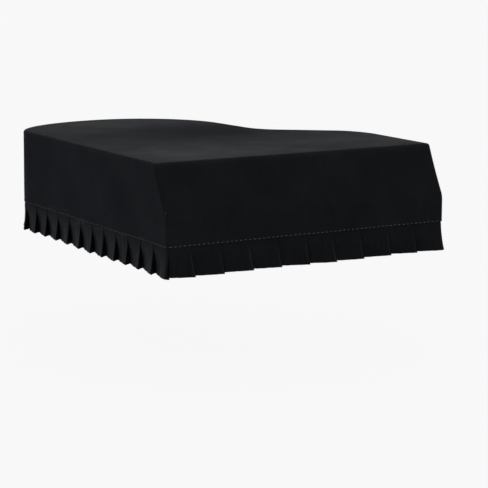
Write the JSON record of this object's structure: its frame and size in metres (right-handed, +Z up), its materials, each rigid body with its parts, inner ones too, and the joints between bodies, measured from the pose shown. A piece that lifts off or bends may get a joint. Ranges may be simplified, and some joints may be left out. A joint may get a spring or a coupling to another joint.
{
  "type": "fitted grand piano cover",
  "caption": "Fitted black cloth cover in the plan of a grand piano: flat top, slanted front, straight and curved skirts and a knife-pleated flounce, open underneath.",
  "frame": {"origin": "point on the underside of the top, halfway between the bass and treble sides and 0.85 m behind the front top edge, where the cover rests on what it covers", "axes": "+X from the bass side to the treble side, +Y from the front edge to the tail, +Z up"},
  "size_m": [1.5324, 1.8624, 0.5009],
  "materials": {
    "cloth": "matte black napped cloth"
  },
  "bodies": {
    "root": {"top_panel": "cloth", "front_panel": "cloth", "bass_panel": "cloth", "tail_panel": "cloth", "bent_panel": "cloth", "front_flounce": "cloth", "bass_flounce": "cloth", "tail_flounce": "cloth", "bent_flounce": "cloth"}
  },
  "joints": []
}
